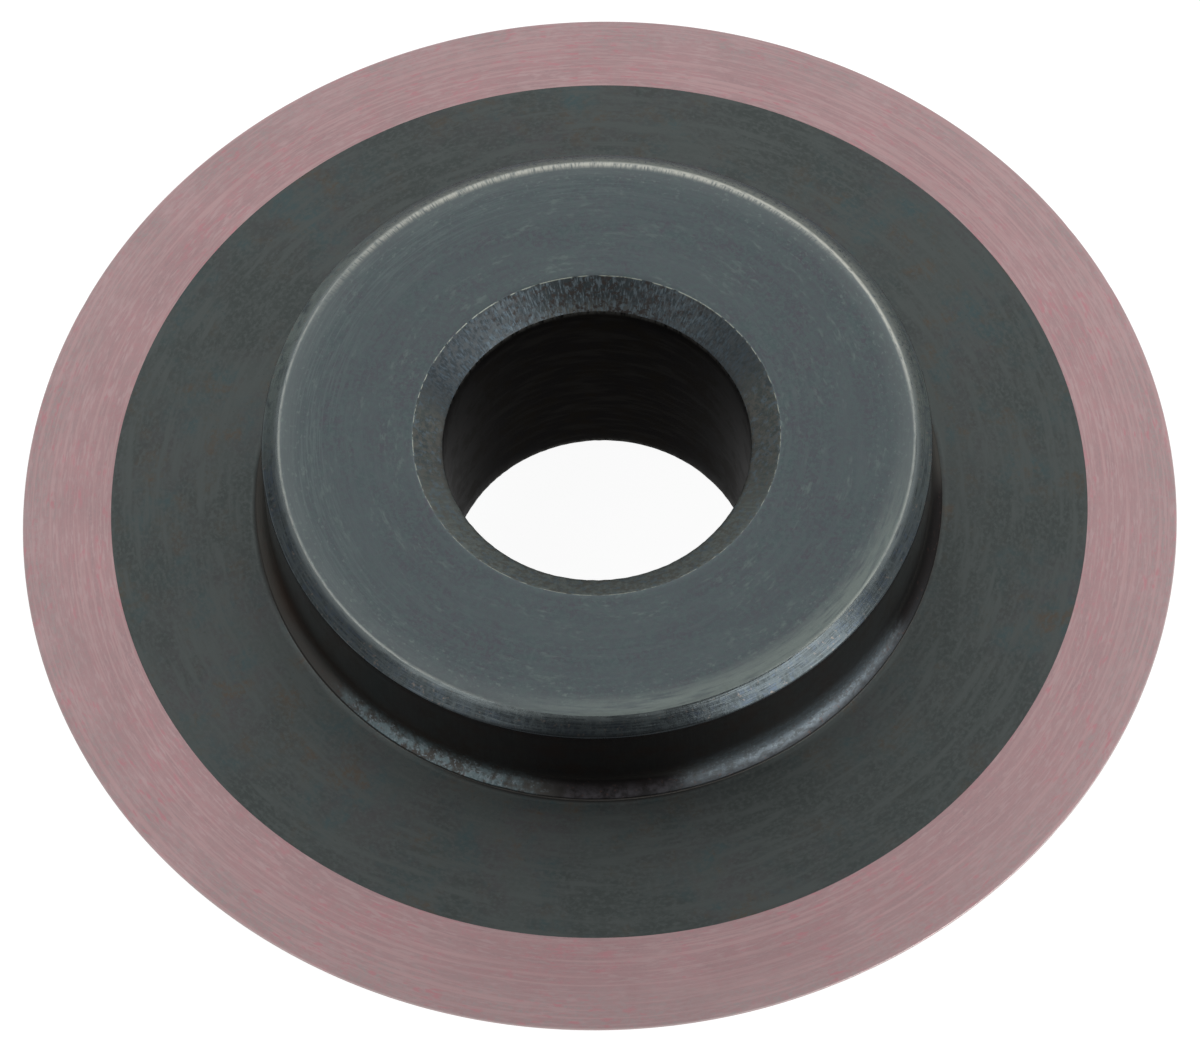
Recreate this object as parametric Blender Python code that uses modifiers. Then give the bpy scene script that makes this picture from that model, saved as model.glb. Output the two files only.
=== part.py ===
"""Pipe cutter wheel: a hardened steel disc with a hub on both sides and a bore
for the pin it turns on.

The real wheel is turned from one bar, so it is one solid here: half of its
section is drawn as a profile, mirrored about the plane of the cutting edge, and
turned about the bore's axis, Z. The origin is the centre of the bore in the
plane of the edge. All lengths are in metres.
"""

import math

import bpy

# Driving dimensions. The wheel is the same on both sides of its cutting edge.
WHEEL_DIAMETER = 0.019
BORE_DIAMETER = 0.005
HUB_DIAMETER = 0.0109
HUB_LENGTH = 0.005

# The chamfer round each hub face, along the radius and along the axis.
HUB_CHAMFER_RADIAL = 0.00029
HUB_CHAMFER_AXIAL = 0.00023

# The countersink that opens each end of the bore, measured the same way.
COUNTERSINK_RADIAL = 0.00049
COUNTERSINK_AXIAL = 0.00036

# The blade: a thin web that tapers outwards, then a ground bevel to the edge.
WEB_ROOT_THICKNESS = 0.00095
BEVEL_ROOT_THICKNESS = 0.00064
BEVEL_WIDTH = 0.00148
EDGE_LAND = 0.00004

# The hollow fillet at the hub's foot. Grinding the web flat cut its lower end
# off, which leaves a crisp ring FILLET_REACH out from the hub's wall and a step
# of FILLET_STEP from the ring down to the web.
FILLET_RADIUS = 0.00042
FILLET_REACH = 0.00019
FILLET_STEP = 0.00006
FILLET_POINTS = 11

# The facets of the turning and of the fillet meet at less than the sharp angle,
# and the web and the bevel at a little more.
TURN_STEPS = 120
SHARP_ANGLE = math.radians(7)

COLLECTION_NAME = "pipe_cutter_wheel"
WHEEL_NAME = "cutter_wheel"


def clear_scene():
    """Remove every object that the file opened with."""
    for obj in list(bpy.data.objects):
        bpy.data.objects.remove(obj, do_unlink=True)


def srgb_to_linear(hex_colour):
    """Turn an sRGB hex colour into linear RGBA."""
    channels = [int(hex_colour[i:i + 2], 16) / 255 for i in (1, 3, 5)]
    linear = [c / 12.92 if c <= 0.04045 else ((c + 0.055) / 1.055) ** 2.4 for c in channels]
    return (*linear, 1.0)


def steel(name, hex_colour, metallic, roughness):
    """A Principled material for one of the wheel's two finishes."""
    material = bpy.data.materials.new(name)
    material.use_nodes = True
    shader = material.node_tree.nodes["Principled BSDF"]
    shader.inputs["Base Color"].default_value = srgb_to_linear(hex_colour)
    shader.inputs["Metallic"].default_value = metallic
    shader.inputs["Roughness"].default_value = roughness
    return material


def fillet_points(wall_radius):
    """Points of the fillet, from the hub's wall to the crisp ring, then the web's root.

    The arc leaves the wall tangent to it and ends at the ring, where it has come
    FILLET_REACH out from the wall. The web's root lies straight below the ring. A
    reach past the arc's own radius is limited by it, because the arc is level there.
    """
    reach = min(FILLET_REACH, FILLET_RADIUS)
    sweep = math.acos(1 - reach / FILLET_RADIUS)
    root_height = WEB_ROOT_THICKNESS / 2
    centre_radius = wall_radius + FILLET_RADIUS
    centre_height = root_height + FILLET_STEP + FILLET_RADIUS * math.sin(sweep)
    points = []
    for i in range(FILLET_POINTS):
        angle = sweep * i / (FILLET_POINTS - 1)
        points.append((
            centre_radius - FILLET_RADIUS * math.cos(angle),
            centre_height - FILLET_RADIUS * math.sin(angle),
        ))
    points.append((wall_radius + reach, root_height))
    return points


def upper_half_section():
    """Radius and height of the section's upper half, bore to cutting edge."""
    bore_radius = BORE_DIAMETER / 2
    hub_radius = HUB_DIAMETER / 2
    wheel_radius = WHEEL_DIAMETER / 2
    face_height = HUB_LENGTH / 2
    return [
        (bore_radius, face_height - COUNTERSINK_AXIAL),
        (bore_radius + COUNTERSINK_RADIAL, face_height),
        (hub_radius - HUB_CHAMFER_RADIAL, face_height),
        (hub_radius, face_height - HUB_CHAMFER_AXIAL),
        *fillet_points(hub_radius),
        (wheel_radius - BEVEL_WIDTH, BEVEL_ROOT_THICKNESS / 2),
        (wheel_radius, EDGE_LAND / 2),
    ]


def turned_section():
    """The whole closed section, which runs down its outer side and up the bore."""
    upper = upper_half_section()
    lower = [(radius, -height) for radius, height in reversed(upper)]
    return upper + lower


def turn(name, section):
    """Turn a closed section about Z with a Screw modifier."""
    mesh = bpy.data.meshes.new(name + "_section")
    points = [(radius, 0.0, height) for radius, height in section]
    edges = [(i, (i + 1) % len(points)) for i in range(len(points))]
    mesh.from_pydata(points, edges, [])
    turned = bpy.data.objects.new(name, mesh)
    bpy.context.scene.collection.objects.link(turned)
    screw = turned.modifiers.new("Turn", "SCREW")
    screw.axis = "Z"
    screw.angle = math.tau
    screw.steps = TURN_STEPS
    screw.render_steps = TURN_STEPS
    screw.use_merge_vertices = True
    screw.merge_threshold = 0.000001
    return turned


def keep_turned_mesh(turned, mesh_name):
    """Swap the section for the mesh that the Screw modifier makes of it."""
    depsgraph = bpy.context.evaluated_depsgraph_get()
    section = turned.data
    mesh = bpy.data.meshes.new_from_object(turned.evaluated_get(depsgraph))
    mesh.name = mesh_name
    turned.modifiers.clear()
    turned.data = mesh
    bpy.data.meshes.remove(section)
    return mesh


def build_wheel(collection):
    """The wheel: one turned solid, blackened, with both bevels ground bare."""
    wheel = turn(WHEEL_NAME, turned_section())
    mesh = keep_turned_mesh(wheel, WHEEL_NAME)

    mesh.materials.clear()
    mesh.materials.append(steel("blackened_steel", "#525A5C", 0.8, 0.5))
    mesh.materials.append(steel("ground_bevel_steel", "#A58A8D", 0.6, 0.55))
    bevel_start = WHEEL_DIAMETER / 2 - BEVEL_WIDTH
    for polygon in mesh.polygons:
        is_bevel = math.hypot(polygon.center.x, polygon.center.y) > bevel_start
        polygon.material_index = 1 if is_bevel else 0

    mesh.shade_smooth()
    mesh.set_sharp_from_angle(angle=SHARP_ANGLE)

    bpy.context.scene.collection.objects.unlink(wheel)
    collection.objects.link(wheel)
    return wheel


def main():
    clear_scene()
    collection = bpy.data.collections.new(COLLECTION_NAME)
    bpy.context.scene.collection.children.link(collection)
    build_wheel(collection)


main()
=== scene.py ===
"""Looks of the pipe cutter wheel: oil-blackened turned steel with bare ground bevels.

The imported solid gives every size. The wheel is turned again here from the solid's
own section, with rounded corners, tool marks and wear, and stands for that solid.
Lengths are in metres, and in millimetres where a name ends in _MM. Angles round
the axis are azimuths in degrees: 0 is on the right, 90 at the back, -90 in front.
"""

import math
from types import SimpleNamespace

import bmesh
import bpy
from mathutils import Matrix, Vector, noise


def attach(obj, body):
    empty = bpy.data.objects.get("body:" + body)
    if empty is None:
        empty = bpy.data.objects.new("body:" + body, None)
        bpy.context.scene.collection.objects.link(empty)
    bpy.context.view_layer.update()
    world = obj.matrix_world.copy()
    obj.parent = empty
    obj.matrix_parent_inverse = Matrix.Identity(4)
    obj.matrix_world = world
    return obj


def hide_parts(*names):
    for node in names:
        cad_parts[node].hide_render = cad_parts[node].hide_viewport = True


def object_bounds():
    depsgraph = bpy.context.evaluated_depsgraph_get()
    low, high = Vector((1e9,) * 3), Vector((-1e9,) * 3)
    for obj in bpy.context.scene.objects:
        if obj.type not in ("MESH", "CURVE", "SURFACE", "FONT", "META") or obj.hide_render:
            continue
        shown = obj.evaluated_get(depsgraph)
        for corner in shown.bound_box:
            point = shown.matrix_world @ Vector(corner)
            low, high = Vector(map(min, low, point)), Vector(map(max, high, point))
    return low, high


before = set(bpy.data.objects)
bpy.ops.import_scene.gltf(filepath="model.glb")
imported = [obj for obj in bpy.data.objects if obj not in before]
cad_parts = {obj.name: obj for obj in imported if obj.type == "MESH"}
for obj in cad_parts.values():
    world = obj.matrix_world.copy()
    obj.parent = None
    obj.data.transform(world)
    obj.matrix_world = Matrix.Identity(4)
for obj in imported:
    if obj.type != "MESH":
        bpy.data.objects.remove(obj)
cad_low, cad_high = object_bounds()

NODE = "cutter_wheel"
MM = 0.001
MICRON_MM = 0.001

# Points nearer to each other than this are the same one: at a corner or in the
# mirror, and along the seam of the turning.
SAME_POINT = 1e-6
SAME_SEAM_POINT = 1e-7

# The photograph's camera, worked out from the wheel's coaxial circles.
CAMERA_DISTANCE = 133.7 * MM
CAMERA_ELEVATION = math.radians(60.92)
CAMERA_ROLL = math.radians(-2.08)
CAMERA_TARGET = Vector((0.002, -0.346, 0.0)) * MM
CAMERA_LENS = 243.84
SENSOR_WIDTH = 36.0
CAMERA_NEAR = 0.01
CAMERA_FAR = 10

# How the wheel is turned: facets round the axis, and cuts across each stretch of
# the section between two of its corners.
TURN_STEPS = 336
FILLET_STEPS = 12
CUTS = {
    "bore": 5,
    "countersink": 9,
    "hub_face": 37,
    "hub_chamfer": 5,
    "hub_wall": 7,
    "web": 24,
    "bevel": 16,
}

# How far each corner is rounded, measured along the section from the corner.
CORNERS_MM = {
    "bore_mouth": 0.015,
    "countersink_top": 0.015,
    "face_edge": 0.035,
    "chamfer_foot": 0.03,
    "fillet_end": 0.015,
    "web_root": 0.006,
    "bevel_root": 0.012,
    "cutting_edge": 0.012,
}
CORNER_SEGMENTS = 3

# The share of a rounded corner that takes its finish from the side nearer the
# axis.
CORNER_SHARE = 0.3

# The side of the hub's edge that has rubbed most against the cutter's arm, as
# an azimuth round the axis, how far round it the wear spreads, and the share of
# that where it is full. The side that has kept its black is given the same way.
WORN_SIDE = 48
WORN_REACH = 52
FULLY_WORN = 0.4
BLACK_SIDE = -85
BLACK_REACH = 45

# How many micrometres are off every point, and off the hub's edge all round and,
# on top of that, on its worn side.
LEAST_WEAR = 0.2
EDGE_WEAR = 2
WORN_SIDE_WEAR = 12

# What is added to the lane of marks on the underside, so that they differ from
# those on top.
UNDERSIDE_LANE = 40

# How far inside the hub's edge its frayed wear lies, and the colour of the steel
# laid bare there.
FRAY_INSET = 0.035 * MM
BARE_EDGE = "#ABACA4"

# The studio. Each lamp has its azimuth, elevation, width and height in degrees,
# as seen from the wheel, and its radiance. One of radiance 1 looks white in a
# mirror.
WORLD_LIGHT = 0.3
LAMP_DISTANCE = 0.45
LAMPS = {
    "right_strip": (-37, 24, 36, 48, 4.6),
    "left_strip": (-131, 24, 28, 40, 1.15),
    "right_softbox": (15, 28, 60, 56, 0.75),
    "left_softbox": (180, 28, 90, 56, 0.44),
    "back_softbox": (90, 28, 90, 56, 0.88),
    "upper_right_softbox": (22, 65, 38, 18, 0.86),
    "upper_left_softbox": (180, 65, 57, 18, 1.5),
}
FLOOR_SIZE = 4.0
FLOOR_GAP = 0.01 * MM
FLOOR_GLOW = 0.94
FLOOR_SHADE = "#707070"
FLOOR_PAPER = "#E8E8E8"


def section_of_solid():
    """Radius and height of the solid's upper half section, bore to cutting edge."""
    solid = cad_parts[NODE].data
    points = {
        (round(math.hypot(v.co.x, v.co.y), 6), round(v.co.z, 6))
        for v in solid.vertices if v.co.z > 0
    }
    return sorted(points, key=lambda p: (p[0], -p[1]))


SECTION = section_of_solid()
BORE_MOUTH, COUNTERSINK_TOP, FACE_EDGE, CHAMFER_FOOT, FILLET_TOP = SECTION[:5]
FILLET_END, WEB_ROOT, BEVEL_ROOT, CUTTING_EDGE = SECTION[-4:]
CORNERS = {
    "bore_mouth": BORE_MOUTH,
    "countersink_top": COUNTERSINK_TOP,
    "face_edge": FACE_EDGE,
    "chamfer_foot": CHAMFER_FOOT,
    "fillet_end": FILLET_END,
    "web_root": WEB_ROOT,
    "bevel_root": BEVEL_ROOT,
    "cutting_edge": CUTTING_EDGE,
}


def deselect_all():
    """Clear the selection, which the operators act on."""
    bpy.ops.object.select_all(action="DESELECT")


def select_section(wheel, kind, chosen):
    """In edit mode, select only the vertices or edges whose middle passes chosen.

    kind is "VERT" or "EDGE", and chosen is given a radius and a height.
    """
    mesh = bmesh.from_edit_mesh(wheel.data)
    for element in (*mesh.verts, *mesh.edges):
        element.select = False
    for element in mesh.verts if kind == "VERT" else mesh.edges:
        ends = [element] if kind == "VERT" else element.verts
        middle = sum((v.co for v in ends), Vector()) / len(ends)
        element.select = chosen(middle.x, middle.z)
    bmesh.update_edit_mesh(wheel.data)


def extrude_to(here, there):
    """Draw the section on from one radius and height to the next."""
    move = (there[0] - here[0], 0, there[1] - here[1])
    bpy.ops.mesh.extrude_region_move(TRANSFORM_OT_translate={"value": move})


def draw_section():
    """Draw the upper half section as a wire, from the bore's middle to the edge's.

    It starts as a plane merged to one vertex, which is extruded from corner to
    corner, and spun round the fillet's centre from the hub's wall to the crisp ring.
    """
    deselect_all()
    bpy.ops.mesh.primitive_plane_add(size=MM, location=(BORE_MOUTH[0], 0, 0))
    wheel = bpy.context.object
    wheel.name = "turned_wheel"
    bpy.ops.object.transform_apply(location=True)
    bpy.ops.object.mode_set(mode="EDIT")
    bpy.ops.mesh.select_all(action="SELECT")
    bpy.ops.mesh.merge(type="CENTER")
    upper = [(BORE_MOUTH[0], 0), BORE_MOUTH, COUNTERSINK_TOP, FACE_EDGE, CHAMFER_FOOT, FILLET_TOP]
    for here, there in zip(upper, upper[1:]):
        extrude_to(here, there)

    reach = FILLET_END[0] - FILLET_TOP[0]
    drop = FILLET_TOP[1] - FILLET_END[1]
    fillet_radius = (reach ** 2 + drop ** 2) / (2 * reach)
    bpy.ops.mesh.spin(
        steps=FILLET_STEPS,
        angle=math.asin(drop / fillet_radius),
        center=(FILLET_TOP[0] + fillet_radius, 0, FILLET_TOP[1]),
        axis=(0, 1, 0),
    )
    extrude_to(FILLET_END, WEB_ROOT)
    extrude_to(WEB_ROOT, BEVEL_ROOT)
    extrude_to(BEVEL_ROOT, CUTTING_EDGE)
    extrude_to(CUTTING_EDGE, (CUTTING_EDGE[0], 0))
    return wheel


def round_corners(wheel):
    """Round every sharp corner of the section a little."""
    for name, (radius, height) in CORNERS.items():
        select_section(
            wheel, "VERT", lambda r, z: math.hypot(r - radius, z - height) < SAME_POINT
        )
        bpy.ops.mesh.bevel(
            offset=CORNERS_MM[name] * MM, segments=CORNER_SEGMENTS, affect="VERTICES"
        )


def cut_stretches(wheel):
    """Divide each straight stretch of the section, so that it can carry tool marks.

    A stretch is found by its middle, which rounding its two corners may have moved.
    """
    moved = 2 * max(CORNERS_MM.values()) * MM
    ends = {
        "bore": ((BORE_MOUTH[0], 0), BORE_MOUTH),
        "countersink": (BORE_MOUTH, COUNTERSINK_TOP),
        "hub_face": (COUNTERSINK_TOP, FACE_EDGE),
        "hub_chamfer": (FACE_EDGE, CHAMFER_FOOT),
        "hub_wall": (CHAMFER_FOOT, FILLET_TOP),
        "web": (WEB_ROOT, BEVEL_ROOT),
        "bevel": (BEVEL_ROOT, CUTTING_EDGE),
    }
    for name, (start, end) in ends.items():
        radius, height = (start[0] + end[0]) / 2, (start[1] + end[1]) / 2
        select_section(
            wheel, "EDGE", lambda r, z: math.hypot(r - radius, z - height) < moved
        )
        bpy.ops.mesh.subdivide(number_cuts=CUTS[name])


def turn(wheel):
    """Spin the half section round the axis, close its seam and mirror it downwards."""
    bpy.ops.mesh.select_all(action="SELECT")
    bpy.ops.mesh.spin(steps=TURN_STEPS, angle=math.tau, center=(0, 0, 0), axis=(0, 0, 1))
    bpy.ops.mesh.select_all(action="SELECT")
    bpy.ops.mesh.remove_doubles(threshold=SAME_SEAM_POINT)
    bpy.ops.object.mode_set(mode="OBJECT")
    mirror = wheel.modifiers.new("underside", "MIRROR")
    mirror.use_axis = (False, False, True)
    mirror.merge_threshold = SAME_POINT
    bpy.ops.object.modifier_apply(modifier=mirror.name)
    bpy.ops.object.mode_set(mode="EDIT")
    bpy.ops.mesh.select_all(action="SELECT")
    bpy.ops.mesh.normals_make_consistent(inside=False)
    bpy.ops.object.mode_set(mode="OBJECT")
    bpy.ops.object.shade_smooth()


def zone_of(radius, height):
    """The name of the wheel's surface at a radius and a height above its middle."""
    if radius < BORE_MOUTH[0] + CORNER_SHARE * CORNERS_MM["bore_mouth"] * MM:
        return "bore"
    if radius < COUNTERSINK_TOP[0]:
        return "countersink"
    if radius < FACE_EDGE[0]:
        return "hub_face"
    if height > CHAMFER_FOOT[1] - CORNERS_MM["chamfer_foot"] * MM:
        return "hub_chamfer"
    if radius < WEB_ROOT[0] + CORNER_SHARE * CORNERS_MM["web_root"] * MM:
        return "hub_foot"
    if radius < BEVEL_ROOT[0]:
        return "web"
    return "bevel"


def smooth(value, low, high):
    """Rise from 0 at low to 1 at high, or fall where low is above high."""
    share = min(max((value - low) / (high - low), 0), 1)
    return share * share * (3 - 2 * share)


def round_the_wheel(x, y, run, lane=0.0):
    """Noise from -1 to 1 that closes on itself round the axis.

    run is about how many radians one mark is long, and lane tells marks that lie
    side by side apart.
    """
    radius = math.hypot(x, y) * run
    return noise.noise(Vector((x / radius, y / radius, lane)))


def worn_depth(x, y, z):
    """How many micrometres tools, handling and rust have taken off at a point.

    The point is given in mm. A lane is the distance along the section over the
    pitch of that surface's tool marks, both in mm.
    """
    radius = math.hypot(x, y)
    height = abs(z)
    side = UNDERSIDE_LANE if z < 0 else 0
    zone = zone_of(radius * MM, height * MM)
    azimuth = math.degrees(math.atan2(y, x))
    near = {
        name: math.hypot(radius - corner[0] / MM, height - corner[1] / MM)
        for name, corner in CORNERS.items()
    }
    depth = LEAST_WEAR
    if zone == "hub_face":
        depth += 1.5 + 1.5 * round_the_wheel(x, y, 0.8, radius / 0.06 + side)
    elif zone == "hub_chamfer":
        depth += 1 + round_the_wheel(x, y, 0.3, (radius - height) / 0.05 + side)
    elif zone == "hub_foot":
        lump = noise.noise(Vector((x, y, z)) / 0.22)
        pit = smooth(noise.noise(Vector((x, y, z)) / 0.13), 0.25, 0.6)
        depth += 2 + 2 * round_the_wheel(x, y, 0.5, height / 0.07 + side)
        depth += 3 * max(lump, 0) + 5 * pit
    elif zone == "web":
        depth += 1 + round_the_wheel(x, y, 0.7, radius / 0.09 + side)
        depth += 1.5 * (1 + noise.noise(Vector((x, y, z)) / 1.4))
    elif zone == "bevel":
        depth += 1 + round_the_wheel(x, y, 0.3, radius / 0.08 + side)
    elif zone == "countersink":
        depth += 2 + 2 * round_the_wheel(x, y, 0.03, (radius + height) / 0.6 + side)
    else:
        depth += 1 + round_the_wheel(x, y, 0.2, height / 0.15 + 3 * azimuth / 360)

    from_worn_side = abs((azimuth - WORN_SIDE + 180) % 360 - 180)
    rubbed = smooth(from_worn_side, WORN_REACH, FULLY_WORN * WORN_REACH)
    depth += (EDGE_WEAR + WORN_SIDE_WEAR * rubbed) * smooth(near["face_edge"], 0.1, 0)
    depth += 6 * (1 + round_the_wheel(x, y, 0.04, side)) * smooth(near["bore_mouth"], 0.06, 0)
    depth += 2 * (1 + round_the_wheel(x, y, 0.03, side)) * smooth(near["countersink_top"], 0.05, 0)
    nicks = smooth(round_the_wheel(x, y, 0.02), 0.35, 0.7)
    depth += 6 * nicks * smooth(near["cutting_edge"], 0.08, 0)
    return depth


def wear(wheel):
    """Sink each vertex a few micrometres into the steel, and never out of it."""
    outwards = [vert.normal.copy() for vert in wheel.data.vertices]
    for vert, normal in zip(wheel.data.vertices, outwards):
        x, y, z = vert.co / MM
        vert.co -= normal * worn_depth(x, y, z) * MICRON_MM * MM


def srgb(hex_colour):
    """An sRGB hex colour as linear RGBA."""
    channels = [int(hex_colour[i:i + 2], 16) / 255 for i in (1, 3, 5)]
    linear = [c / 12.92 if c <= 0.04045 else ((c + 0.055) / 1.055) ** 2.4 for c in channels]
    return (*linear, 1.0)


def add_node(tree, kind, inputs=None, **settings):
    """Add a node, set its properties, and fill its sockets with values or links.

    A socket is named, or numbered where its name repeats. Gives back the first of
    the node's outputs that is in use.
    """
    node = tree.nodes.new("ShaderNode" + kind)
    for name, value in settings.items():
        setattr(node, name, value)
    in_use = {socket.name: socket for socket in reversed(node.inputs) if socket.enabled}
    for name, value in (inputs or {}).items():
        socket = node.inputs[name] if isinstance(name, int) else in_use[name]
        if isinstance(value, bpy.types.NodeSocket):
            tree.links.new(value, socket)
        else:
            socket.default_value = value
    return next((socket for socket in node.outputs if socket.enabled), None)


def new_finish(name, inside=False):
    """A bare material, and where a point of it lies on the wheel, in millimetres.

    place is the point itself, and radius is its distance from the axis. section
    is its radius and its height above the middle. out is the way out from the
    axis, of length 1. turned adds to it the distance along the section, which
    tool marks follow: outwards and down, or outwards and up on the surfaces
    inside the hub.
    """
    material = bpy.data.materials.new(name)
    material.use_nodes = True
    tree = material.node_tree
    tree.nodes.clear()
    metres = add_node(tree, "TexCoord").node.outputs["Object"]
    place = add_node(tree, "VectorMath", {0: metres, "Scale": 1 / MM}, operation="SCALE")
    z = add_node(tree, "SeparateXYZ", {0: place}).node.outputs["Z"]
    height = add_node(tree, "Math", {0: z}, operation="ABSOLUTE")
    flat = add_node(tree, "VectorMath", {0: place, 1: (1, 1, 0)}, operation="MULTIPLY")
    radius = add_node(tree, "VectorMath", {0: flat}, operation="LENGTH")
    out = add_node(tree, "VectorMath", {0: flat}, operation="NORMALIZE")
    away = 1 if inside else -1
    along = add_node(tree, "Math", {0: height, 1: away, 2: radius}, operation="MULTIPLY_ADD")
    underside = add_node(tree, "Math", {0: z, 1: 0}, operation="LESS_THAN")
    lane = add_node(
        tree, "Math", {0: underside, 1: UNDERSIDE_LANE, 2: along}, operation="MULTIPLY_ADD"
    )
    lane_vector = add_node(tree, "CombineXYZ", {"Z": lane})
    at = SimpleNamespace(
        place=place,
        radius=radius,
        section=add_node(tree, "CombineXYZ", {"X": radius, "Y": height}),
        out=out,
        turned=add_node(tree, "VectorMath", {0: out, 1: lane_vector}, operation="ADD"),
    )
    return material, tree, at


def marks(tree, at, pitch, run, low, high, most=1.0, detail=2.0):
    """Fine marks round the wheel, pitch mm apart and about run radians long.

    They are 0 where the noise is at low and most where it is at high. A small run
    and a large pitch give marks that run across the turning instead. A lathe tool
    leaves a line every 0.03 to 0.1 mm, which is drawn as it is. The scratches of
    grinding, of about 0.01 mm, are too fine to show and are drawn 0.05 mm apart
    or more.
    """
    stretched = add_node(
        tree, "VectorMath", {0: at.turned, 1: (1 / run, 1 / run, 1 / pitch)}, operation="MULTIPLY"
    )
    pattern = add_node(
        tree, "TexNoise", {"Vector": stretched, "Scale": 1, "Detail": detail, "Roughness": 0.6}
    )
    return add_node(
        tree, "MapRange",
        {"Value": pattern, "From Min": low, "From Max": high, "To Max": most},
        interpolation_type="SMOOTHSTEP",
    )


def clouds(tree, at, size, low, high, most=1.0, detail=4.0):
    """Blotches of about size mm, or specks where low is well above a half."""
    pattern = add_node(
        tree, "TexNoise",
        {"Vector": at.place, "Scale": 1 / size, "Detail": detail, "Roughness": 0.7},
    )
    return add_node(
        tree, "MapRange",
        {"Value": pattern, "From Min": low, "From Max": high, "To Max": most},
        interpolation_type="SMOOTHSTEP",
    )


def beside(tree, at, corner, width, most=1.0):
    """A band along a corner of the section: most at the corner, 0 at width mm from it."""
    radius, height = corner
    distance = add_node(
        tree, "VectorMath", {0: at.section, 1: (radius / MM, height / MM, 0)}, operation="DISTANCE"
    )
    return add_node(
        tree, "MapRange",
        {"Value": distance, "From Min": width, "From Max": 0, "To Max": most},
        interpolation_type="SMOOTHSTEP",
    )


def out_to(tree, at, start, end, most=1.0):
    """Rises from 0 at one radius to most at another, in mm."""
    return add_node(
        tree, "MapRange",
        {"Value": at.radius, "From Min": start, "From Max": end, "To Max": most},
        interpolation_type="SMOOTHSTEP",
    )


def facing(tree, at, azimuth, reach, most=1.0):
    """The side of the wheel at an azimuth: most there, and 0 at reach degrees from it."""
    a = math.radians(azimuth)
    aim = add_node(
        tree, "VectorMath", {0: at.out, 1: (math.cos(a), math.sin(a), 0)}, operation="DOT_PRODUCT"
    )
    return add_node(
        tree, "MapRange",
        {"Value": aim, "From Min": math.cos(math.radians(reach)), "From Max": 1, "To Max": most},
        interpolation_type="SMOOTHSTEP",
    )


def both(tree, first, second):
    """Where two patterns meet."""
    return add_node(tree, "Math", {0: first, 1: second}, operation="MULTIPLY")


def layered(tree, ground, layers):
    """A hex colour or a roughness, with others laid over it by their patterns."""
    is_colour = isinstance(ground, str)
    kind = "RGBA" if is_colour else "FLOAT"
    result = srgb(ground) if is_colour else ground
    for pattern, value in layers:
        over = srgb(value) if is_colour else value
        result = add_node(tree, "Mix", {"Factor": pattern, "A": result, "B": over}, data_type=kind)
    return result


def relief(tree, heights):
    """The surface's slope from patterns and the micrometres that each stands proud."""
    total = 0.0
    for pattern, micrometres in heights:
        total = add_node(
            tree, "Math", {0: pattern, 1: micrometres, 2: total}, operation="MULTIPLY_ADD"
        )
    return add_node(tree, "Bump", {"Height": total, "Distance": MICRON_MM * MM})


def polish(tree, colour, roughness, normal, glare="#FFFFFF"):
    """Close a finish as bare metal, whose reflections carry its colour.

    glare is how a low angle tints them, which is white on clean metal.
    """
    shader = add_node(
        tree, "BsdfPrincipled",
        {
            "Base Color": colour, "Metallic": 1.0, "Roughness": roughness,
            "Specular Tint": srgb(glare), "Normal": normal,
        },
    )
    add_node(tree, "OutputMaterial", {"Surface": shader})


def rubbed_edge(tree, at):
    """Where the black has rubbed off the hub's edge: a hairline, frayed wider at the back.

    The frayed part lies mostly on the face, just inside the edge.
    """
    grain = marks(tree, at, 0.04, 0.03, 0.2, 0.55)
    black = facing(tree, at, BLACK_SIDE, BLACK_REACH)
    kept = add_node(tree, "Math", {0: 1, 1: black}, operation="SUBTRACT")
    hairline = both(tree, beside(tree, at, FACE_EDGE, 0.04, 0.44), kept)
    worn = both(
        tree, beside(tree, at, FACE_EDGE, 0.06), facing(tree, at, WORN_SIDE, WORN_REACH, 1.5)
    )
    inside_edge = (FACE_EDGE[0] - FRAY_INSET, FACE_EDGE[1])
    wide = both(tree, beside(tree, at, inside_edge, 0.1, 1.1), facing(tree, at, 92, 68))
    frayed = both(tree, wide, marks(tree, at, 0.2, 0.006, 0.26, 0.62))
    lines = add_node(tree, "Math", {0: hairline, 1: worn}, operation="MAXIMUM")
    all_of_it = add_node(
        tree, "Math", {0: both(tree, lines, grain), 1: frayed}, operation="MAXIMUM"
    )
    return add_node(tree, "Math", {0: all_of_it, 1: 1}, operation="MINIMUM")


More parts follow.
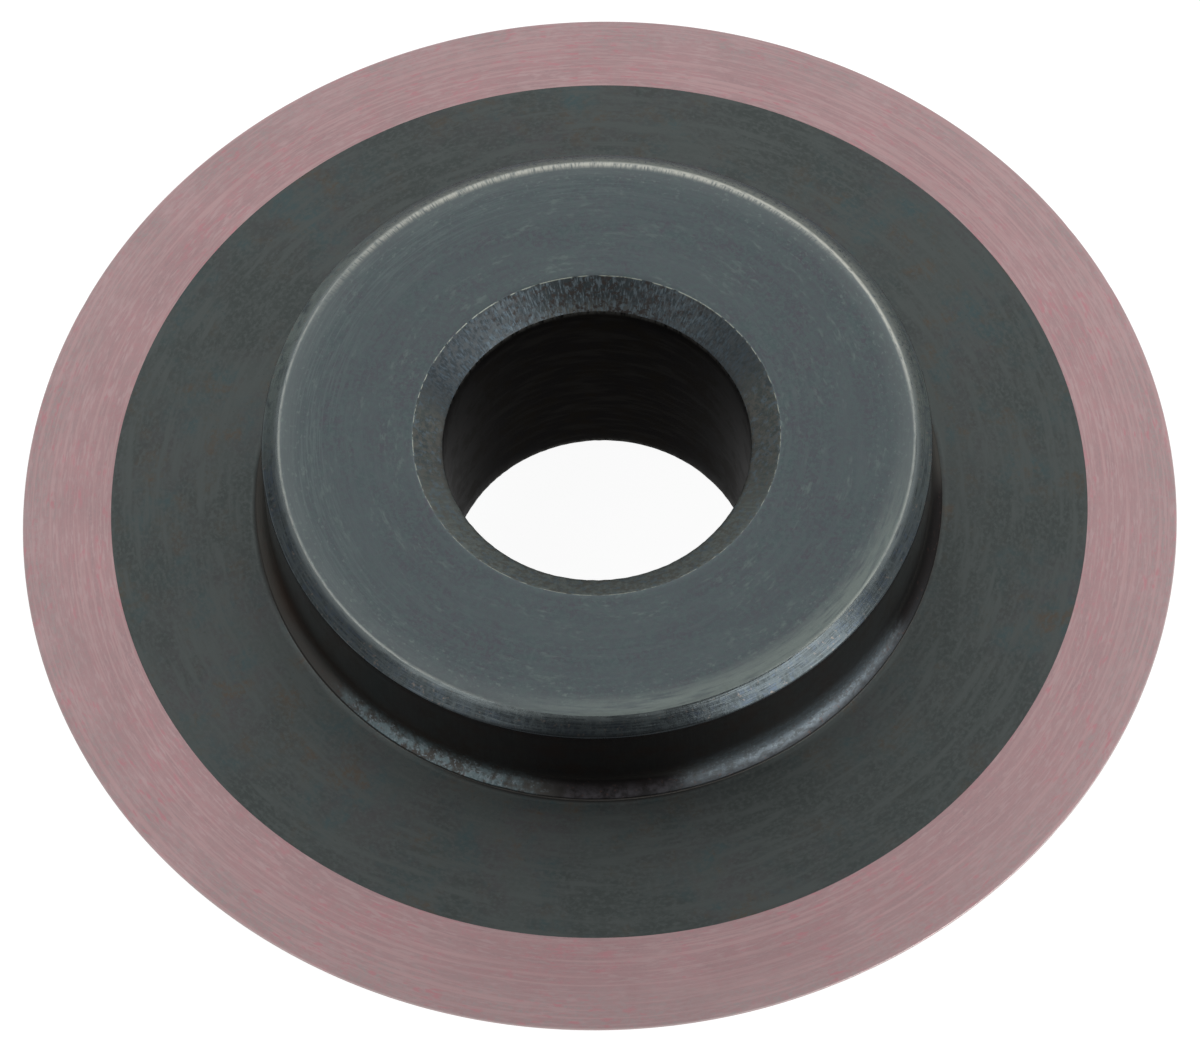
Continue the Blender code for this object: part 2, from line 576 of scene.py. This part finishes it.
def turned_face_steel():
    """Tool steel, faced on a lathe and oil-blackened.

    A blue-grey, mottled finely with green and mauve where the oil dried, with
    faint arcs and short pale strokes that follow the tool, and a paler band along
    the rim, where the tool's lines show most.
    """
    material, tree, at = new_finish("turned_face_steel")
    oil = clouds(tree, at, 0.8, 0.38, 0.64, detail=5.0)
    dull = clouds(tree, at, 0.25, 0.42, 0.66)
    mottle = clouds(tree, at, 0.07, 0.42, 0.66, detail=2.0)
    swathes = marks(tree, at, 0.6, 0.7, 0.4, 0.66)
    arcs = marks(tree, at, 0.09, 0.3, 0.46, 0.7)
    grain = marks(tree, at, 0.05, 0.02, 0.42, 0.72, detail=3.0)
    rows = marks(tree, at, 0.3, 0.3, 0.46, 0.66)
    strokes = both(tree, marks(tree, at, 0.07, 0.05, 0.5, 0.72), rows)
    flecks = both(tree, marks(tree, at, 0.06, 0.02, 0.56, 0.76), out_to(tree, at, 4.2, 5.0))
    lines = both(tree, marks(tree, at, 0.032, 0.16, 0.44, 0.66), out_to(tree, at, 3.9, 4.8))
    drawn = both(tree, lines, facing(tree, at, 150, 110, 1.1))
    streaked = marks(tree, at, 0.05, 0.12, 0.25, 0.6)
    band = both(tree, out_to(tree, at, 4.7, 5.1), facing(tree, at, -57, 58, 1.2))
    rim = out_to(tree, at, 4.7, 5.12, 0.6)
    bare = rubbed_edge(tree, at)
    colour = layered(tree, "#585A60", [
        (oil, "#525F60"),
        (dull, "#58575E"),
        (swathes, "#5A6164"),
        (arcs, "#5C6366"),
        (grain, "#596165"),
        (mottle, "#5A6566"),
        (strokes, "#667170"),
        (drawn, "#626C6D"),
        (rim, "#6B7273"),
        (both(tree, band, streaked), "#77807D"),
        (flecks, "#6F7A78"),
        (bare, BARE_EDGE),
    ])
    roughness = layered(tree, 0.42, [(oil, 0.46), (grain, 0.38), (bare, 0.3)])
    normal = relief(tree, [(arcs, 0.3), (strokes, 0.3), (grain, 0.2), (mottle, 0.2), (drawn, 0.3)])
    polish(tree, colour, roughness, normal)
    return material


def chamfer_steel():
    """Tool steel, chamfered with a single-point tool and oil-blackened.

    Smoother and darker than the face, with a painted sheen right beside it that is
    left out where the right strip lamp lights it: long streaks that follow the
    turning, bluer and duller patches, straw specks, greener on the right, and the
    black rubbed thin on the left and at the back. Painted shade darkens the front,
    most at the foot.
    """
    material, tree, at = new_finish("chamfer_steel")
    streaks = marks(tree, at, 0.045, 0.2, 0.4, 0.66)
    scores = marks(tree, at, 0.03, 0.1, 0.48, 0.68)
    patches = clouds(tree, at, 0.3, 0.4, 0.62, detail=3.0)
    dull = clouds(tree, at, 0.7, 0.36, 0.66, detail=3.0)
    fibres = marks(tree, at, 0.2, 0.014, 0.42, 0.68)
    straw = clouds(tree, at, 0.08, 0.6, 0.72, 0.8, 2.0)
    # Painted shade on the front of the chamfer.
    darkened = facing(tree, at, -92, 34, 0.5)
    oiled = facing(tree, at, 12, 38)
    thinned = both(tree, facing(tree, at, 153, 36), marks(tree, at, 0.2, 0.05, 0.2, 0.6))
    # Where the right strip lamp's highlight falls; the painted sheen beside the face goes only on
    # the rest.
    lamp_lit = facing(tree, at, -54, 32, 0.8)
    unlit = add_node(tree, "Math", {0: 1, 1: lamp_lit}, operation="SUBTRACT")
    near_face = both(tree, beside(tree, at, FACE_EDGE, 0.16, 1.3), unlit)
    paler = both(tree, near_face, marks(tree, at, 0.07, 0.09, 0.24, 0.54, detail=3.0))
    # Painted shade in the corner at the chamfer's foot, on the front.
    foot = both(tree, beside(tree, at, CHAMFER_FOOT, 0.09), facing(tree, at, -95, 30))
    thin = both(tree, beside(tree, at, FACE_EDGE, 0.34), facing(tree, at, 72, 90, 1.4))
    scuffed = both(tree, thin, marks(tree, at, 0.1, 0.012, 0.25, 0.6))
    bare = rubbed_edge(tree, at)
    colour = layered(tree, "#373B3C", [
        (dull, "#303536"),
        (patches, "#39414A"),
        (oiled, "#4B524F"),
        # painted shade on the front
        (darkened, "#2A2D2F"),
        (streaks, "#454B4D"),
        (scores, "#2D3234"),
        (fibres, "#3F4547"),
        (thinned, "#535B59"),
        (straw, "#5A5551"),
        # painted sheen beside the face
        (paler, "#636A6B"),
        (scuffed, "#686C68"),
        # painted shade at the foot
        (foot, "#25282A"),
        (bare, BARE_EDGE),
    ])
    roughness = layered(tree, 0.25, [(dull, 0.32), (patches, 0.22), (scuffed, 0.4), (bare, 0.3)])
    normal = relief(tree, [(streaks, 0.7), (scores, -0.5), (fibres, 0.3), (patches, 0.6)])
    polish(tree, colour, roughness, normal, glare="#CFCFCF")
    return material


def hub_foot_steel():
    """Tool steel on the hub's wall and in the hollow at its foot, oil-blackened.

    The thickest black, nearly soot, brown where rust has started, most at the top
    of the hollow on the left. The hollow is greyer and duller, with painted shade at
    the very front and on the right. On either side of the front, where the strip
    lamps reflect, it is painted bluer and paler as highlight, with painted glints: the
    left stretch over lumps that the tool left, the right one smoother, down to painted
    shade in the corner at the web. Between them the painted shade has a little mauve
    dust on it.
    """
    material, tree, at = new_finish("hub_foot_steel")
    hollow = beside(tree, at, FILLET_END, 0.62, 2.5)
    rust = clouds(tree, at, 0.5, 0.46, 0.64, 0.8)
    drawn = marks(tree, at, 0.6, 0.012, 0.42, 0.66)
    lumps = clouds(tree, at, 0.22, 0.38, 0.7, detail=3.0)
    specks = clouds(tree, at, 0.05, 0.56, 0.72, detail=1.0)
    red = clouds(tree, at, 0.07, 0.64, 0.74, 0.4, 1.0)
    brown = both(tree, beside(tree, at, FILLET_TOP, 0.45, 1.5), facing(tree, at, -142, 34))
    # Painted shade in the hollow at the very front and on the right, between the lamps'
    # highlights.
    unlit_sides = add_node(
        tree, "Math",
        {0: facing(tree, at, -97, 25, 1.2), 1: facing(tree, at, -22, 26, 0.8)},
        operation="MAXIMUM",
    )
    darkened = both(tree, unlit_sides, beside(tree, at, FILLET_END, 0.5, 3.0))
    left = both(tree, facing(tree, at, -128, 34), beside(tree, at, FILLET_END, 0.5, 3.0))
    # Painted highlights where the strip lamps reflect in the hollow: paler and bluer over the
    # lumps on the left and smoothly on the right, with painted glints on both.
    left_highlight = both(tree, facing(tree, at, -121, 23, 1.2), beside(tree, at, FILLET_END, 0.5, 2.0))
    right = both(tree, facing(tree, at, -54, 27, 1.1), beside(tree, at, FILLET_END, 0.75, 2.4))
    lump_highlights = both(tree, left_highlight, lumps)
    brushed_highlight = both(tree, right, marks(tree, at, 0.09, 0.02, 0.38, 0.68, detail=3.0))
    painted_glints = both(tree, add_node(tree, "Math", {0: left_highlight, 1: right}, operation="MAXIMUM"), specks)
    # Painted shade in the corner at the web, below the right highlight.
    crease_shade = both(tree, beside(tree, at, FILLET_END, 0.17), facing(tree, at, -52, 40))
    ring = both(tree, beside(tree, at, FILLET_END, 0.34, 1.4), facing(tree, at, -90, 40))
    dusty = both(tree, ring, clouds(tree, at, 0.24, 0.4, 0.66, 0.45))
    step = beside(tree, at, WEB_ROOT, 0.05, 1.5)
    colour = layered(tree, "#373232", [
        (drawn, "#3A3736"),
        (rust, "#382C28"),
        (hollow, "#403F3C"),
        (brown, "#40342D"),
        # painted shade
        (darkened, "#201E1E"),
        (dusty, "#474549"),
        (left, "#3F3E3C"),
        # painted highlights, down to the painted glints
        (lump_highlights, "#525D60"),
        (right, "#4E5254"),
        (brushed_highlight, "#555C61"),
        (painted_glints, "#5F676B"),
        # painted shade in the corner at the web
        (crease_shade, "#303234"),
        (step, "#4C4A47"),
        (red, "#4A3934"),
    ])
    roughness = layered(tree, 0.29, [
        (rust, 0.34),
        (hollow, 0.5),
        (left, 0.46),
        (lump_highlights, 0.38),
        (right, 0.55),
        (brushed_highlight, 0.46),
        (step, 0.7),
    ])
    normal = relief(tree, [(drawn, 0.4), (lump_highlights, 2.0), (brushed_highlight, 0.5), (painted_glints, 0.2)])
    polish(tree, colour, roughness, normal)
    return material


def ground_web_steel():
    """Tool steel, ground flat between hub and bevel and oil-blackened.

    A soft dark grey, clouded with mauve, blue-green and brown, with a fine
    grain, the grinding's faint rings and painted shade in the corner at the hub,
    in front and on either side.
    """
    material, tree, at = new_finish("ground_web_steel")
    mauve = clouds(tree, at, 1.1, 0.4, 0.62, detail=5.0)
    green = clouds(tree, at, 0.8, 0.46, 0.64, detail=5.0)
    brown = clouds(tree, at, 0.6, 0.5, 0.66, 0.9, 5.0)
    dark = clouds(tree, at, 2.2, 0.4, 0.62, detail=5.0)
    grain = marks(tree, at, 0.06, 0.012, 0.4, 0.7, detail=3.0)
    rings = marks(tree, at, 0.14, 0.15, 0.46, 0.7)
    specks = clouds(tree, at, 0.07, 0.68, 0.78, 0.5, 1.0)
    # Painted shade in the corner at the hub, in front and on either side.
    sides = add_node(
        tree, "Math",
        {0: facing(tree, at, -176, 24, 0.8), 1: facing(tree, at, 0, 50, 0.45)},
        operation="MAXIMUM",
    )
    shaded_sides = add_node(
        tree, "Math", {0: facing(tree, at, -93, 36, 1.2), 1: sides}, operation="MAXIMUM"
    )
    crease_shade = both(tree, beside(tree, at, WEB_ROOT, 0.08), shaded_sides)
    colour = layered(tree, "#4D5251", [
        (mauve, "#534F52"),
        (green, "#465456"),
        (brown, "#574F47"),
        (dark, "#464B4A"),
        (grain, "#515655"),
        (rings, "#515655"),
        (specks, "#444848"),
        # painted shade in the corner at the hub
        (crease_shade, "#2C2C2B"),
    ])
    roughness = layered(tree, 0.45, [(green, 0.41), (crease_shade, 0.6)])
    normal = relief(tree, [(rings, 0.12), (grain, 0.15), (mauve, 0.4)])
    polish(tree, colour, roughness, normal)
    return material


def ground_bevel_steel():
    """Tool steel, its bevel ground bare after blackening.

    A dull rosy grey in long faint streaks and small flecks drawn along the edge,
    rosier near the black and greyer in blotches towards the rim, with a paler
    hairline there.
    """
    material, tree, at = new_finish("ground_bevel_steel")
    flecks = marks(tree, at, 0.06, 0.014, 0.4, 0.68, detail=3.0)
    strokes = marks(tree, at, 0.05, 0.035, 0.48, 0.7)
    streaks = marks(tree, at, 0.16, 0.2, 0.4, 0.64, detail=4.0)
    rings = marks(tree, at, 0.07, 0.5, 0.48, 0.68)
    mottle = clouds(tree, at, 0.06, 0.42, 0.66, detail=2.0)
    outer = out_to(tree, at, 8.6, 9.3)
    grey = clouds(tree, at, 1.1, 0.38, 0.6, detail=5.0)
    rosy = clouds(tree, at, 0.4, 0.45, 0.64, detail=5.0)
    pink = both(tree, marks(tree, at, 0.08, 0.03, 0.54, 0.7), clouds(tree, at, 1.4, 0.46, 0.56))
    hairline = beside(tree, at, CUTTING_EDGE, 0.03, 0.6)
    colour = layered(tree, "#A78688", [
        (grey, "#A08A8B"),
        (rosy, "#AB8085"),
        (streaks, "#9A8385"),
        (outer, "#A28E8F"),
        (both(tree, outer, grey), "#998D8D"),
        (mottle, "#A2888A"),
        (flecks, "#A18587"),
        (rings, "#AC9091"),
        (strokes, "#A89091"),
        (pink, "#AC8085"),
        (hairline, "#BDB0AE"),
    ])
    roughness = layered(tree, 0.5, [(strokes, 0.44), (grey, 0.55)])
    normal = relief(tree, [(flecks, 0.2), (strokes, 0.2), (streaks, 0.3), (mottle, 0.2)])
    polish(tree, colour, roughness, normal)
    return material


def countersink_steel():
    """Tool steel, countersunk with a chattering tool and oil-blackened.

    Green-grey and matt, in fine fibres that run down the slope, freckled with
    brown and blue. It is paler at the front, darker and sooty at the back, bluer
    on either side of that, with bare metal along its broken top edge.
    """
    material, tree, at = new_finish("countersink_steel", inside=True)
    ripples = marks(tree, at, 0.4, 0.02, 0.4, 0.68)
    freckles = clouds(tree, at, 0.09, 0.42, 0.64, 0.8, 2.0)
    blue = clouds(tree, at, 0.13, 0.48, 0.64, 0.8, 3.0)
    blotches = clouds(tree, at, 0.45, 0.36, 0.66, detail=3.0)
    fibres = marks(tree, at, 0.14, 0.014, 0.42, 0.68, detail=3.0)
    lower = both(tree, beside(tree, at, BORE_MOUTH, 0.42), marks(tree, at, 0.3, 0.02, 0.3, 0.6))
    front = facing(tree, at, -93, 86, 1.1)
    upper = both(tree, facing(tree, at, 88, 56, 1.4), beside(tree, at, COUNTERSINK_TOP, 0.75, 1.3))
    back = both(tree, upper, marks(tree, at, 0.4, 0.03, 0.18, 0.5, detail=3.0))
    at_back = facing(tree, at, 88, 60, 1.3)
    sparks = both(tree, at_back, marks(tree, at, 0.18, 0.012, 0.45, 0.68, detail=3.0))
    darkened = both(tree, at_back, clouds(tree, at, 0.1, 0.48, 0.64, 0.9, 3.0))
    left = facing(tree, at, 137, 35, 1.2)
    right = facing(tree, at, 48, 34, 0.9)
    patch = add_node(tree, "Math", {0: left, 1: right}, operation="MAXIMUM")
    glassy = both(tree, patch, fibres)
    broken = marks(tree, at, 0.1, 0.05, 0.42, 0.58)
    top = both(tree, beside(tree, at, COUNTERSINK_TOP, 0.03, 1.3), broken)
    colour = layered(tree, "#454A49", [
        (blotches, "#40474A"),
        (ripples, "#4A504D"),
        (lower, "#4E4D4A"),
        (front, "#666D6A"),
        (both(tree, front, blotches), "#5F6664"),
        (both(tree, front, ripples), "#6A706D"),
        (blue, "#57636A"),
        (freckles, "#575753"),
        (patch, "#34393C"),
        (back, "#303537"),
        (glassy, "#434D54"),
        (sparks, "#4F585D"),
        (darkened, "#33302F"),
        (both(tree, freckles, patch), "#434749"),
        (top, "#A0A59A"),
    ])
    roughness = layered(tree, 0.5, [(glassy, 0.44), (blotches, 0.54)])
    normal = relief(tree, [(ripples, 0.6), (fibres, 0.6), (freckles, 0.3)])
    polish(tree, colour, roughness, normal)
    return material


def bored_steel():
    """Tool steel, drilled and oil-blackened.

    Black, with faint arcs from the drill, a little paler at its mouth. Soot and
    oil take away the glare of a low angle.
    """
    material, tree, at = new_finish("bored_steel", inside=True)
    drilled = marks(tree, at, 0.12, 0.3, 0.44, 0.68)
    brown = clouds(tree, at, 0.5, 0.45, 0.62)
    mouth = both(tree, beside(tree, at, BORE_MOUTH, 0.12), marks(tree, at, 0.6, 0.03, 0.35, 0.6))
    colour = layered(tree, "#121111", [
        (brown, "#151311"),
        (drilled, "#181716"),
        (mouth, "#403F3D"),
    ])
    roughness = layered(tree, 0.45, [(brown, 0.5)])
    normal = relief(tree, [(drilled, 0.5)])
    polish(tree, colour, roughness, normal, glare="#BABABA")
    return material


FINISHES = {
    "bore": bored_steel,
    "countersink": countersink_steel,
    "hub_face": turned_face_steel,
    "hub_chamfer": chamfer_steel,
    "hub_foot": hub_foot_steel,
    "web": ground_web_steel,
    "bevel": ground_bevel_steel,
}


def give_finishes(wheel):
    """Give each surface of the wheel its own finish."""
    zones = list(FINISHES)
    for zone in zones:
        wheel.data.materials.append(FINISHES[zone]())
    for face in wheel.data.polygons:
        radius = math.hypot(face.center.x, face.center.y)
        face.material_index = zones.index(zone_of(radius, abs(face.center.z)))


def build_wheel():
    """Turn the wheel, finish it, wear it, and put it in the solid's place."""
    wheel = draw_section()
    round_corners(wheel)
    cut_stretches(wheel)
    turn(wheel)
    give_finishes(wheel)
    wear(wheel)
    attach(wheel, "root")
    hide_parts(NODE)


def softbox(name, azimuth, elevation, width, height, radiance):
    """An area lamp that faces the wheel. Its angles are in degrees, as seen from there."""
    wide = 2 * LAMP_DISTANCE * math.tan(math.radians(width / 2))
    high = 2 * LAMP_DISTANCE * math.tan(math.radians(height / 2))
    lamp = bpy.data.lights.new(name, "AREA")
    lamp.shape = "RECTANGLE"
    lamp.size = wide
    lamp.size_y = high
    lamp.energy = radiance * math.pi * wide * high
    obj = bpy.data.objects.new(name, lamp)
    bpy.context.scene.collection.objects.link(obj)
    a, e = math.radians(azimuth), math.radians(elevation)
    way = Vector((math.cos(a) * math.cos(e), math.sin(a) * math.cos(e), math.sin(e)))
    obj.location = way * LAMP_DISTANCE
    obj.rotation_euler = way.to_track_quat("Z", "Y").to_euler()
    obj.visible_camera = False


def build_lights():
    """A plain grey room, weak softboxes all round and a strip lamp at each front side."""
    world = bpy.data.worlds.new("studio")
    world.use_nodes = True
    background = world.node_tree.nodes["Background"]
    background.inputs["Color"].default_value = (1, 1, 1, 1)
    background.inputs["Strength"].default_value = WORLD_LIGHT
    bpy.context.scene.world = world
    for name, settings in LAMPS.items():
        softbox(name, *settings)


def build_floor():
    """White paper that the camera and the steel see as white, and that keeps the shadow.

    From below it is clear, so that the wheel's underside can be seen.
    """
    deselect_all()
    bpy.ops.mesh.primitive_plane_add(size=FLOOR_SIZE, location=(0, 0, cad_low.z - FLOOR_GAP))
    floor = bpy.context.object
    floor.name = "floor"
    material = bpy.data.materials.new("white_paper")
    material.use_nodes = True
    tree = material.node_tree
    tree.nodes.clear()
    paper = add_node(tree, "BsdfDiffuse", {"Color": srgb(FLOOR_PAPER)})
    shade = add_node(tree, "BsdfDiffuse", {"Color": srgb(FLOOR_SHADE)})
    glow = add_node(tree, "Emission", {"Color": (1, 1, 1, 1), "Strength": FLOOR_GLOW})
    seen = add_node(tree, "AddShader", {0: shade, 1: glow})
    path = add_node(tree, "LightPath").node.outputs
    mirrored = add_node(
        tree, "Math",
        {0: path["Is Glossy Ray"], 1: path["Is Transmission Ray"]},
        operation="MAXIMUM",
    )
    any_ray = add_node(
        tree, "Math", {0: path["Is Camera Ray"], 1: mirrored}, operation="MAXIMUM"
    )
    above = add_node(tree, "MixShader", {0: any_ray, 1: paper, 2: seen})
    below = add_node(tree, "BsdfTransparent")
    backfacing = add_node(tree, "NewGeometry").node.outputs["Backfacing"]
    sheet = add_node(tree, "MixShader", {0: backfacing, 1: above, 2: below})
    add_node(tree, "OutputMaterial", {"Surface": sheet})
    floor.data.materials.append(material)


def build_camera():
    """The photograph's view: from the front, two thirds of the way up to overhead."""
    camera = bpy.data.cameras.new("camera")
    camera.lens = CAMERA_LENS
    camera.sensor_width = SENSOR_WIDTH
    camera.clip_start = CAMERA_NEAR
    camera.clip_end = CAMERA_FAR
    obj = bpy.data.objects.new("camera", camera)
    bpy.context.scene.collection.objects.link(obj)
    back = Vector((0, -math.cos(CAMERA_ELEVATION), math.sin(CAMERA_ELEVATION)))
    right = Vector((1, 0, 0))
    up = back.cross(right)
    across = right * math.cos(CAMERA_ROLL) + up * math.sin(CAMERA_ROLL)
    upright = up * math.cos(CAMERA_ROLL) - right * math.sin(CAMERA_ROLL)
    facing_wheel = Matrix((across, upright, back)).transposed().to_4x4()
    obj.matrix_world = Matrix.Translation(CAMERA_TARGET + back * CAMERA_DISTANCE) @ facing_wheel
    bpy.context.scene.camera = obj


build_wheel()
build_lights()
build_floor()
build_camera()
bpy.context.scene.view_settings.view_transform = "Standard"
